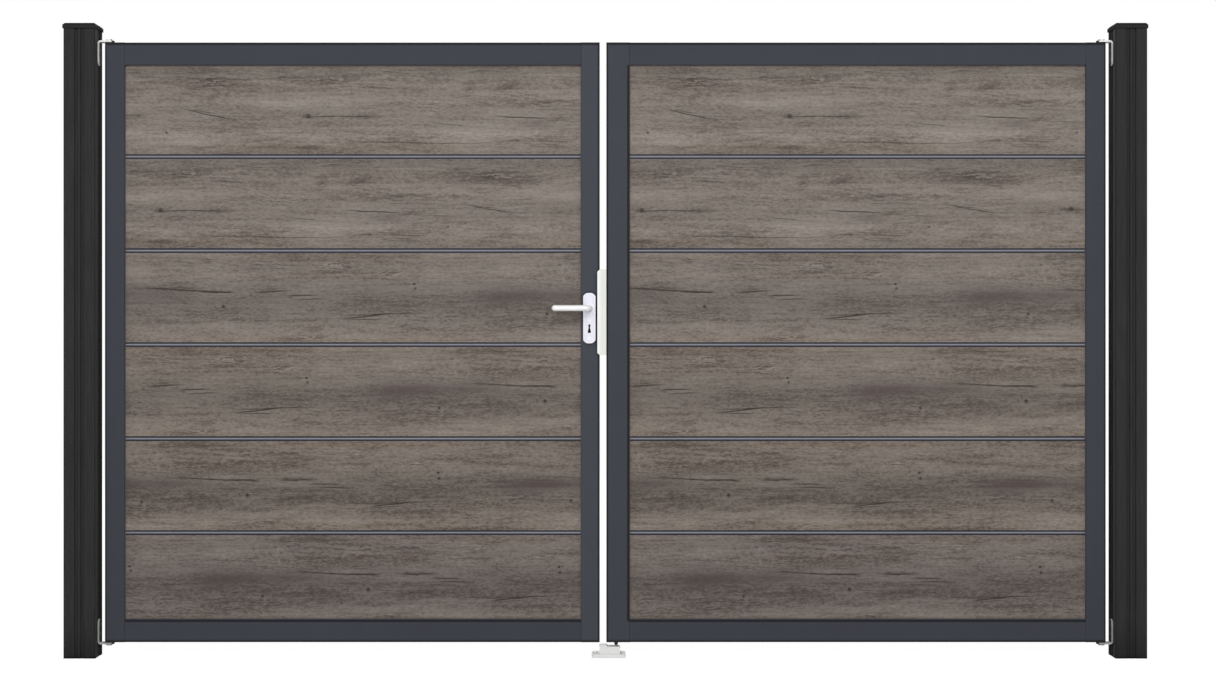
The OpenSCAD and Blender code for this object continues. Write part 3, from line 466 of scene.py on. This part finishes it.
# colour and bareAndPaintedLight: the skin, and the tone of its worn edges that also serves as painted shade
# and highlight on edges, rims and lips and as the darkening towards the ground. cloud, speck, drawn: how
# strongly clouds, specks and drawn
# lines show. lines: how fine the lines are along X, Y and Z. edge, wearAndEdgeLight: how wide the edges are,
# and how worn and how strongly painted lighter or darker they are. pimple, relief: height of the specks and
# of the lines
coats = {
    "postCoat": {
        "colour": (0.0358, 0.0358, 0.0363), "bareAndPaintedLight": (0.0085, 0.0085, 0.0090), "cloud": 0.4, "speck": 0.2,
        "drawn": 1.10, "lines": (150.0, 150.0, 9.0), "edge": 0.0035, "wearAndEdgeLight": 0.85, "rough": 0.80,
        "shade": (0.008, 0.018, 0.97, 1.85), "foot": (0.12, 0.40),
        "pimple": 0.6, "relief": 0.5, "metal": 0.0, "gloss": 0.02, "creviceShade": 0.75, "creviceShadeReach": 0.014},
    "frameCoat": {
        "colour": (0.0482, 0.0526, 0.0644), "bareAndPaintedLight": (0.0100, 0.0105, 0.0125), "cloud": 0.40, "speck": 0.34,
        "drawn": 0.14, "lines": (30.0, 30.0, 30.0), "edge": 0.0010, "wearAndEdgeLight": 0.40, "rough": 0.58,
        "pimple": 0.8, "relief": 0.1, "metal": 0.0, "gloss": 0.10, "creviceShade": 0.25, "creviceShadeReach": 0.006},
    "blackPlastic": {
        "colour": (0.0300, 0.0300, 0.0305), "bareAndPaintedLight": (0.0120, 0.0120, 0.0125), "cloud": 0.3, "speck": 0.35,
        "drawn": 0.1, "lines": (40.0, 40.0, 40.0), "edge": 0.0016, "wearAndEdgeLight": 0.75, "rough": 0.80,
        "shade": (-0.040, 0.030, 0.95, 0.60),
        "pimple": 1.0, "relief": 0.0, "metal": 0.0, "gloss": 0.02, "creviceShade": 0.6, "creviceShadeReach": 0.010},
    "rodCoat": {
        "colour": (0.0420, 0.0440, 0.0500), "bareAndPaintedLight": (0.300, 0.300, 0.310), "cloud": 0.4, "speck": 0.3,
        "drawn": 0.3, "lines": (300.0, 300.0, 8.0), "edge": 0.0012, "wearAndEdgeLight": 0.35, "rough": 0.50,
        "pimple": 0.7, "relief": 0.3, "metal": 0.0, "gloss": 0.25},
    "hingeZinc": {
        "colour": (0.720, 0.722, 0.715), "bareAndPaintedLight": (0.860, 0.860, 0.855), "cloud": 0.5, "speck": 0.30,
        "drawn": 0.3, "lines": (260.0, 260.0, 9.0), "edge": 0.0010, "wearAndEdgeLight": 0.50, "rough": 0.78,
        "pimple": 0.4, "relief": 0.5, "metal": 0.0, "gloss": 0.02, "creviceShade": 0.30, "creviceShadeReach": 0.008,
        "shade": (-0.016, -0.011, 0.97, 0.70)},
    "castAlloy": {
        "colour": (0.850, 0.855, 0.835), "bareAndPaintedLight": (0.920, 0.920, 0.920), "cloud": 0.3, "speck": 0.30,
        "drawn": 0.1, "lines": (60.0, 60.0, 60.0), "edge": 0.0012, "wearAndEdgeLight": 0.50, "rough": 0.55,
        "pimple": 1.0, "relief": 0.2, "metal": 0.0, "gloss": 0.25, "creviceShade": 0.20, "creviceShadeReach": 0.010},
    "lockSteel": {
        "colour": (0.430, 0.430, 0.430), "bareAndPaintedLight": (0.720, 0.720, 0.720), "cloud": 0.5, "speck": 0.3,
        "drawn": 0.5, "lines": (240.0, 240.0, 10.0), "edge": 0.0010, "wearAndEdgeLight": 0.50, "rough": 0.38,
        "pimple": 0.3, "relief": 0.6, "metal": 0.70, "gloss": 0.5},
    # Painted highlight: the plate's wide worn edge makes its bright rim
    "plateSilver": {
        "colour": (0.810, 0.812, 0.905), "bareAndPaintedLight": (0.965, 0.965, 0.975), "cloud": 0.16, "speck": 0.14,
        "drawn": 0.22, "lines": (520.0, 520.0, 10.0), "edge": 0.0055, "wearAndEdgeLight": 0.90, "rough": 0.36,
        "pimple": 0.2, "relief": 0.5, "metal": 0.10, "gloss": 0.45},
    "leverSilver": {
        "colour": (0.970, 0.958, 0.966), "bareAndPaintedLight": (0.980, 0.975, 0.980), "cloud": 0.08, "speck": 0.10,
        "drawn": 0.18, "lines": (10.0, 520.0, 520.0), "edge": 0.0010, "wearAndEdgeLight": 0.30, "rough": 0.32,
        "pimple": 0.2, "relief": 0.5, "metal": 0.10, "gloss": 0.5},
    "strikeAlloy": {
        "colour": (0.880, 0.888, 0.842), "bareAndPaintedLight": (0.940, 0.940, 0.930), "cloud": 0.16, "speck": 0.14,
        "drawn": 0.20, "lines": (420.0, 420.0, 6.0), "edge": 0.0009, "wearAndEdgeLight": 0.30, "rough": 0.48,
        "pimple": 0.3, "relief": 0.5, "metal": 0.0, "gloss": 0.35},
    "shadowedScrew": {
        "colour": (0.0550, 0.0550, 0.0560), "bareAndPaintedLight": (0.160, 0.160, 0.160), "cloud": 0.5, "speck": 0.3,
        "drawn": 0.2, "lines": (200.0, 200.0, 200.0), "edge": 0.0005, "wearAndEdgeLight": 0.40, "rough": 0.60,
        "pimple": 0.3, "relief": 0.2, "metal": 0.0, "gloss": 0.06},
    "screwSteel": {
        "colour": (0.480, 0.480, 0.490), "bareAndPaintedLight": (0.800, 0.800, 0.800), "cloud": 0.5, "speck": 0.3,
        "drawn": 0.2, "lines": (200.0, 200.0, 200.0), "edge": 0.0005, "wearAndEdgeLight": 0.50, "rough": 0.38,
        "pimple": 0.3, "relief": 0.2, "metal": 0.60, "gloss": 0.5},
    "panelSeal": {
        "colour": (0.2050, 0.1800, 0.1600), "bareAndPaintedLight": (0.230, 0.205, 0.185), "cloud": 0.4, "speck": 0.5,
        "drawn": 0.2, "lines": (80.0, 80.0, 80.0), "edge": 0.0006, "wearAndEdgeLight": 0.20, "rough": 0.80,
        "pimple": 0.8, "relief": 0.2, "metal": 0.0, "gloss": 0.12},
}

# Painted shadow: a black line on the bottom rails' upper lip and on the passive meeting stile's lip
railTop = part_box("active_bottom_rail")[1].z
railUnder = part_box("active_top_rail")[0].z
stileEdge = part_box("passive_meeting_stile")[1].x
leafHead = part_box("active_top_rail")[1].z
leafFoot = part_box("active_bottom_rail")[0].z
upright = [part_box("active_hinge_stile")[0].x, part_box("active_meeting_stile")[1].x,
           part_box("passive_meeting_stile")[0].x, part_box("passive_hinge_stile")[1].x]
# Painted shade along the outer edges of the leaves' uprights, heads and feet
coats["frameCoat"]["rims"] = [(0, x, 0.0058, 0.88) for x in upright]
coats["frameCoat"]["rims"] += [(2, leafHead, 0.0084, 0.88), (2, leafFoot, 0.0078, 0.75)]
coats["railCoat"] = {**coats["frameCoat"], "lip": (2, railTop - 0.0100, railTop - 0.0018, 0.0, railUnder)}
# Painted shade: strong darkening in the corners round the lock plate and the strike
coats["meetingCoat"] = {**coats["frameCoat"], "colour": (0.0584, 0.0636, 0.0764), "creviceShade": 0.90,
                        "creviceShadeReach": 0.014}
coats["lippedCoat"] = {**coats["frameCoat"], "colour": (0.0522, 0.0566, 0.0690),
                       "lip": (0, stileEdge - 0.0085, stileEdge + 0.001, railTop - 0.0070, railUnder)}
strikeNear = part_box("strike")[0].x
# Painted highlight on the strike's near part, painted shade on the rest
coats["strikeAlloy"]["across"] = (0, strikeNear + 0.004, strikeNear + 0.016, 1.06, 0.955)
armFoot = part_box("left_top_hinge")[1].z - 0.012
# Painted light: the top hinges' arms paler above their foot
coats["hingeZinc"]["across"] = (2, armFoot - 0.004, armFoot + 0.002, 1.0, 1.34)
# Painted shade: a darker copy of the zinc for the bottom hinges, lower down where less light falls
coats["lowHinge"] = {**coats["hingeZinc"], "colour": (0.450, 0.455, 0.452), "bareAndPaintedLight": (0.620, 0.620, 0.615)}
finishes = {name: coatFinish(name, look) for name, look in coats.items()}
print("made", len(finishes), "coats and metals")


# Joint strips: painted shadow in the side channels and a painted highlight on the raised bead between them

stripLook = {
    "side": (0.013, 0.013, 0.021),
    "bead": (0.222, 0.222, 0.262),
    "sideDepth": 0.0083,
    "beadDepth": 0.0098,
    "rough": 0.40,
}


def stripFinish():
    finish, tree, shader = newFinish("stripCoat")
    point = objectPoint(tree)
    depth = calc(tree, "ABSOLUTE", partsOf(tree, point)["Y"])
    drawn = noise(tree, point, (3.0, 500.0, 500.0), 3.0, 0.6)
    cloud = noise(tree, point, (5.0, 20.0, 20.0), 2.0, 0.5)
    # Painted shadow in the side channels, painted highlight on the bead
    beadLit = ranged(tree, depth, stripLook["sideDepth"], stripLook["beadDepth"])
    colour = tint(tree, beadLit, solid(stripLook["side"]), solid(stripLook["bead"]))
    tone = calc(tree, "ADD", calc(tree, "MULTIPLY", drawn, 0.5), calc(tree, "MULTIPLY", cloud, 0.5))
    colour = times(tree, colour, tint(tree, tone, grey(0.80), grey(1.20)))
    tree.links.new(colour, shader.inputs["Base Color"])
    rough = calc(tree, "ADD", calc(tree, "MULTIPLY", drawn, 0.16), stripLook["rough"] - 0.08)
    tree.links.new(rough, shader.inputs["Roughness"])
    tree.links.new(bump(tree, drawn, 0.2, 0.0003), shader.inputs["Normal"])
    shader.inputs["Metallic"].default_value = 0.05
    shader.inputs["Specular IOR Level"].default_value = 0.25
    return finish


finishes["stripCoat"] = stripFinish()

finishOf = {
    "postCoat": ["left_post", "right_post"],
    "blackPlastic": ["left_post_cap", "right_post_cap", "active_end_caps", "passive_end_caps",
                     "active_pivot_blocks", "passive_pivot_blocks"],
    "hingeZinc": ["left_top_hinge", "right_top_hinge"],
    "lowHinge": ["left_bottom_hinge", "right_bottom_hinge"],
    "castAlloy": ["floor_receiver"],
    "frameCoat": ["active_hinge_stile", "active_top_rail", "passive_hinge_stile", "passive_top_rail"],
    "meetingCoat": ["active_meeting_stile"],
    "railCoat": ["active_bottom_rail", "passive_bottom_rail"],
    "lippedCoat": ["passive_meeting_stile"],
    "stripCoat": ["active_joint_strips", "passive_joint_strips"],
    "lockSteel": ["lock_case", "dead_bolt", "latch", "spindle_bar"],
    "plateSilver": ["front_lock_plate", "back_lock_plate"],
    "leverSilver": ["front_lever", "back_lever"],
    "strikeAlloy": ["strike"],
    "rodCoat": ["rod_guides", "drop_rod"],
}
for name, nodes in finishOf.items():
    for node in nodes:
        cadNodes[node].data.materials.clear()
        cadNodes[node].data.materials.append(finishes[name])
print("CAD nodes finished")


# Mesh helpers for the small pieces

def meshPiece(name, body, finish, build):
    mesh = bpy.data.meshes.new(name)
    shape = bmesh.new()
    build(shape)
    bmesh.ops.recalc_face_normals(shape, faces=shape.faces)
    shape.to_mesh(mesh)
    shape.free()
    piece = bpy.data.objects.new(name, mesh)
    scene.collection.objects.link(piece)
    mesh.materials.append(finishes[finish])
    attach(piece, body)
    return piece


def ringAt(shape, place, turn, radius, height, sides, around=32):
    # A ring of points round the local Z axis, on a circle or on a polygon with that many sides
    points = []
    for step in range(around):
        angle = 2 * math.pi * step / around
        reach = radius
        if sides:
            part = 2 * math.pi / sides
            reach = radius * math.cos(part / 2) / math.cos((angle % part) - part / 2)
        local = Vector((reach * math.cos(angle), reach * math.sin(angle), height))
        points.append(shape.verts.new(place + turn @ local))
    return points


def turned(shape, place, axis, rings, around=32):
    # rings: radius, height along the axis, and sides of the outline or 0 for round
    turn = Vector(axis).to_track_quat("Z", "Y").to_matrix()
    rows = [ringAt(shape, Vector(place), turn, *ring, around) for ring in rings]
    for lower, upper in zip(rows, rows[1:]):
        for step in range(around):
            after = (step + 1) % around
            shape.faces.new((lower[step], lower[after], upper[after], upper[step]))
    shape.faces.new(rows[0][::-1])
    shape.faces.new(rows[-1])


def smoothByAngle(piece, degrees=35):
    for polygon in piece.data.polygons:
        polygon.use_smooth = True
    edgeSplit = piece.modifiers.new("sharp edges", "EDGE_SPLIT")
    edgeSplit.split_angle = math.radians(degrees)


countersunk = [(0.50, -0.50, 0), (0.98, -0.03, 0), (1.0, 0.0, 0), (0.96, 0.03, 0), (0.56, 0.04, 0),
               (0.50, 0.04, 6), (0.47, 0.0, 6), (0.46, -0.35, 6)]
hexHead = [(1.28, -0.05, 0), (1.28, 0.10, 0), (1.20, 0.16, 0), (0.98, 0.17, 6), (1.0, 0.22, 6),
           (1.0, 0.72, 6), (0.93, 0.80, 6), (0.80, 0.84, 0), (0.40, 0.86, 0)]


def screws(name, body, profile, radius, places, finish="screwSteel"):
    def build(shape):
        rings = [(out * radius, up * radius, sides) for out, up, sides in profile]
        for place, axis in places:
            turned(shape, place, axis, rings)
    piece = meshPiece(name, body, finish, build)
    smoothByAngle(piece)
    return piece


# Screws that hold the hinges to the posts

bracketScrews = {"radius": 0.0060, "thick": 0.005, "pinHead": 0.004, "up": (0.030, 0.058)}

for side in ("left", "right"):
    for level in ("top", "bottom"):
        low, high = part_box(f"{side}_{level}_hinge")
        inward = 1 if side == "left" else -1
        face = (low.x if side == "left" else high.x) + inward * bracketScrews["thick"]
        places = []
        for up in bracketScrews["up"]:
            reach = bracketScrews["pinHead"] + up
            height = low.z + reach if level == "bottom" else high.z - reach
            places.append(((face, 0.0, height), (inward, 0, 0)))
        # Painted shade: the hinge screws sit in the painted shadow on the hinges' inner faces and are as dark
        screws(f"{side}_{level}_hinge_screws", "posts", countersunk, bracketScrews["radius"],
               places, "shadowedScrew")

# Screws of the lock plates

plateScrews = {"radius": 0.0040, "face": 0.027, "up": (-0.035, -0.089)}

leverLow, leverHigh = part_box("spindle_bar")
leverX = (leverLow.x + leverHigh.x) / 2
leverZ = (leverLow.z + leverHigh.z) / 2
for side, sign in (("front", -1), ("back", 1)):
    places = [((leverX, sign * plateScrews["face"], leverZ + up), (0, sign, 0)) for up in plateScrews["up"]]
    screws(f"{side}_plate_screws", "active_leaf", countersunk, plateScrews["radius"],
           places, "plateSilver")

# Screws of the strike

strikeScrews = {"radius": 0.0040, "face": 0.011, "fromEnd": 0.020, "belowSpindle": 0.0335}

strikeLow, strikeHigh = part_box("strike")
face = strikeHigh.x - strikeScrews["face"]
heights = (strikeLow.z + strikeScrews["fromEnd"], leverZ - strikeScrews["belowSpindle"],
           strikeHigh.z - strikeScrews["fromEnd"])
places = [((face, 0.0, height), (-1, 0, 0)) for height in heights]
screws("strike_screws", "passive_leaf", countersunk, strikeScrews["radius"], places)

# Screws of the drop rod's guides

guideScrews = {"radius": 0.0040, "face": 0.003, "fromEnd": 0.015, "across": 0.015}

guideLow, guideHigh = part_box("rod_guides")
guideX = (guideLow.x + guideHigh.x) / 2
places = []
for height in (guideLow.z + guideScrews["fromEnd"], guideHigh.z - guideScrews["fromEnd"]):
    for across in (-guideScrews["across"], guideScrews["across"]):
        places.append(((guideX + across, guideLow.y + guideScrews["face"], height), (0, 1, 0)))
screws("guide_screws", "passive_leaf", countersunk, guideScrews["radius"], places)

# Anchors of the receiver

anchors = {"radius": 0.0062, "face": 0.010, "fromEnd": 0.010}

receiverLow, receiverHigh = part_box("floor_receiver")
places = [((x, 0.0, anchors["face"]), (0, 0, 1))
          for x in (receiverLow.x + anchors["fromEnd"], receiverHigh.x - anchors["fromEnd"])]
screws("receiver_anchors", "posts", hexHead, anchors["radius"], places, "castAlloy")

# Screws of the lock case's forend

forendScrews = {"radius": 0.0034, "fromEnd": 0.010}

caseLow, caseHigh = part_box("lock_case")
places = [((caseHigh.x, 0.0, height), (1, 0, 0))
          for height in (caseLow.z + forendScrews["fromEnd"], caseHigh.z - forendScrews["fromEnd"])]
screws("forend_screws", "active_leaf", countersunk, forendScrews["radius"], places)
print("screws in place")


# Levers of the lock behind the keyhole

keyLevers = {"width": 0.0106, "height": 0.0270, "thick": 0.0011, "gap": 0.0004, "count": 5,
             "belowSpindle": 0.061, "stagger": 0.0006, "corners": 16}


def leverOutline(drop):
    # A rounded oblong plate, as corners in X and Z
    outline = []
    for corner in range(keyLevers["corners"]):
        angle = 2 * math.pi * (corner + 0.5) / keyLevers["corners"]
        out = max(-1, min(1, 1.25 * math.cos(angle)))
        up = max(-1, min(1, 1.12 * math.sin(angle)))
        outline.append((leverX + keyLevers["width"] / 2 * out,
                        leverZ - keyLevers["belowSpindle"] + keyLevers["height"] / 2 * up - drop))
    return outline


def buildKeyLevers(shape):
    half = keyLevers["thick"] / 2
    corners = keyLevers["corners"]
    for number in range(keyLevers["count"]):
        y = (number - (keyLevers["count"] - 1) / 2) * (keyLevers["thick"] + keyLevers["gap"])
        outline = leverOutline(keyLevers["stagger"] * (number % 2))
        near = [shape.verts.new((x, y - half, z)) for x, z in outline]
        far = [shape.verts.new((x, y + half, z)) for x, z in outline]
        shape.faces.new(near)
        shape.faces.new(far[::-1])
        for corner in range(corners):
            after = (corner + 1) % corners
            shape.faces.new((near[corner], near[after], far[after], far[corner]))


meshPiece("key_levers", "active_leaf", "blackPlastic", buildKeyLevers)
print("lock levers in place")


# Slim seals between the boards and the frame, on both faces of each panel

sealLook = {"wide": 0.0008, "proud": 0.0010, "bury": 0.0003, "under": -0.0004, "arcSteps": 6}


def buildSeal(shape, left, right, bottom, top, faceY, sign):
    # The section runs from the frame's edge inwards over the boards
    wide, proud, under = sealLook["wide"], sealLook["proud"], sealLook["under"]
    section = [(-sealLook["bury"], under), (-sealLook["bury"], proud)]
    for step in range(sealLook["arcSteps"] + 1):
        angle = math.pi / 2 * (1 - step / sealLook["arcSteps"])
        section.append((wide * (0.35 + 0.65 * math.cos(angle)), proud * (0.25 + 0.75 * math.sin(angle))))
    section.append((wide, under))
    corners = [(left, bottom, 1, 1), (right, bottom, -1, 1), (right, top, -1, -1), (left, top, 1, -1)]
    rows = []
    for x, z, intoX, intoZ in corners:
        row = []
        for inset, out in section:
            row.append(shape.verts.new((x + intoX * inset, faceY + sign * out, z + intoZ * inset)))
        rows.append(row)
    for number in range(4):
        here, there = rows[number], rows[(number + 1) % 4]
        for step in range(len(section)):
            after = (step + 1) % len(section)
            shape.faces.new((here[step], here[after], there[after], there[step]))


for leaf in ("active", "passive"):
    sideBoxes = [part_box(f"{leaf}_hinge_stile"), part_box(f"{leaf}_meeting_stile")]
    sideBoxes.sort(key=lambda corners: corners[0].x)
    left, right = sideBoxes[0][1].x, sideBoxes[1][0].x
    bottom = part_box(f"{leaf}_bottom_rail")[1].z
    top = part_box(f"{leaf}_top_rail")[0].z
    boardLow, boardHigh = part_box(f"{leaf}_board_1")

    def build(shape):
        buildSeal(shape, left, right, bottom, top, boardLow.y, -1)
        buildSeal(shape, left, right, bottom, top, boardHigh.y, 1)
    seal = meshPiece(f"{leaf}_panel_seals", f"{leaf}_leaf", "panelSeal", build)
    smoothByAngle(seal)
print("panel seals in place")


# Floor, world, lamps and camera

studio = {
    "floorColour": (0.95, 0.95, 0.95),
    "floorHalf": 9.0,
    "floorShow": 0.75,
    "floorGlow": 1.2,
    "frontSky": 0.285,
    "backSky": 0.160,
    "frontPower": 615.0,
    "frontPlace": (1.572, -9.0, 5.0),
    "backPower": 380.0,
    "backPlace": (1.572, 7.0, 5.0),
    "aim": (1.572, 0.0, 0.95),
    "size": (9.0, 6.0),
}


def seenDirectly(tree):
    # 1 for what the camera, a mirror or glass sees, 0 for light that falls on things
    path = put(tree, "LightPath")
    seen = calc(tree, "MAXIMUM", path.outputs["Is Camera Ray"], path.outputs["Is Glossy Ray"])
    return calc(tree, "MAXIMUM", seen, path.outputs["Is Transmission Ray"])


def buildFloor():
    mesh = bpy.data.meshes.new("floor")
    shape = bmesh.new()
    half = studio["floorHalf"]
    around = ((-half, -half), (half, -half), (half, half), (-half, half))
    shape.faces.new([shape.verts.new((x, y, 0.0)) for x, y in around])
    shape.to_mesh(mesh)
    shape.free()
    floor = bpy.data.objects.new("floor", mesh)
    scene.collection.objects.link(floor)
    finish = bpy.data.materials.new("floorPaint")
    finish.use_nodes = True
    tree = finish.node_tree
    tree.nodes.clear()
    output = tree.nodes.new("ShaderNodeOutputMaterial")
    matt = put(tree, "BsdfDiffuse", {"Color": solid(studio["floorColour"])})
    glow = put(tree, "Emission", {"Color": (1, 1, 1, 1), "Strength": studio["floorGlow"]})
    share = calc(tree, "MULTIPLY", seenDirectly(tree), studio["floorShow"])
    mixed = put(tree, "MixShader", {0: share, 1: matt.outputs[0], 2: glow.outputs[0]})
    tree.links.new(mixed.outputs[0], output.inputs["Surface"])
    mesh.materials.append(finish)


def buildWorld():
    world = bpy.data.worlds.new("studio")
    scene.world = world
    world.use_nodes = True
    tree = world.node_tree
    tree.nodes.clear()
    output = tree.nodes.new("ShaderNodeOutputWorld")
    side = partsOf(tree, put(tree, "TexCoord").outputs["Generated"])["Y"]
    level = ranged(tree, side, 0.35, -0.35, studio["backSky"], studio["frontSky"])
    soft = put(tree, "Background", {"Color": (1, 1, 1, 1), "Strength": level})
    white = put(tree, "Background", {"Color": (1, 1, 1, 1), "Strength": 1.0})
    mixed = put(tree, "MixShader", {0: seenDirectly(tree), 1: soft.outputs[0], 2: white.outputs[0]})
    tree.links.new(mixed.outputs[0], output.inputs["Surface"])


def buildLamp(name, place, power):
    data = bpy.data.lights.new(name, "AREA")
    data.shape = "RECTANGLE"
    data.size, data.size_y = studio["size"]
    data.energy = power
    lamp = bpy.data.objects.new(name, data)
    scene.collection.objects.link(lamp)
    lamp.location = place
    aim = Vector(studio["aim"]) - Vector(place)
    lamp.rotation_euler = aim.to_track_quat("-Z", "Y").to_euler()


cameraSet = {"distance": 6.5, "height": 0.946, "across": 0.008, "seenWidth": 3.633, "sensor": 36.0}


def buildCamera():
    low, high = cadBox
    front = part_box("left_post")[0].y
    middle = (low.x + high.x) / 2
    data = bpy.data.cameras.new("camera")
    data.sensor_width = cameraSet["sensor"]
    data.lens = cameraSet["sensor"] * cameraSet["distance"] / cameraSet["seenWidth"]
    data.clip_end = 200.0
    camera = bpy.data.objects.new("camera", data)
    scene.collection.objects.link(camera)
    camera.location = (middle + cameraSet["across"], front - cameraSet["distance"], cameraSet["height"])
    camera.rotation_euler = (math.pi / 2, 0.0, 0.0)
    scene.camera = camera


buildFloor()
buildWorld()
buildLamp("front lamp", studio["frontPlace"], studio["frontPower"])
buildLamp("back lamp", studio["backPlace"], studio["backPower"])
buildCamera()
scene.view_settings.view_transform = "Standard"
print("studio set")
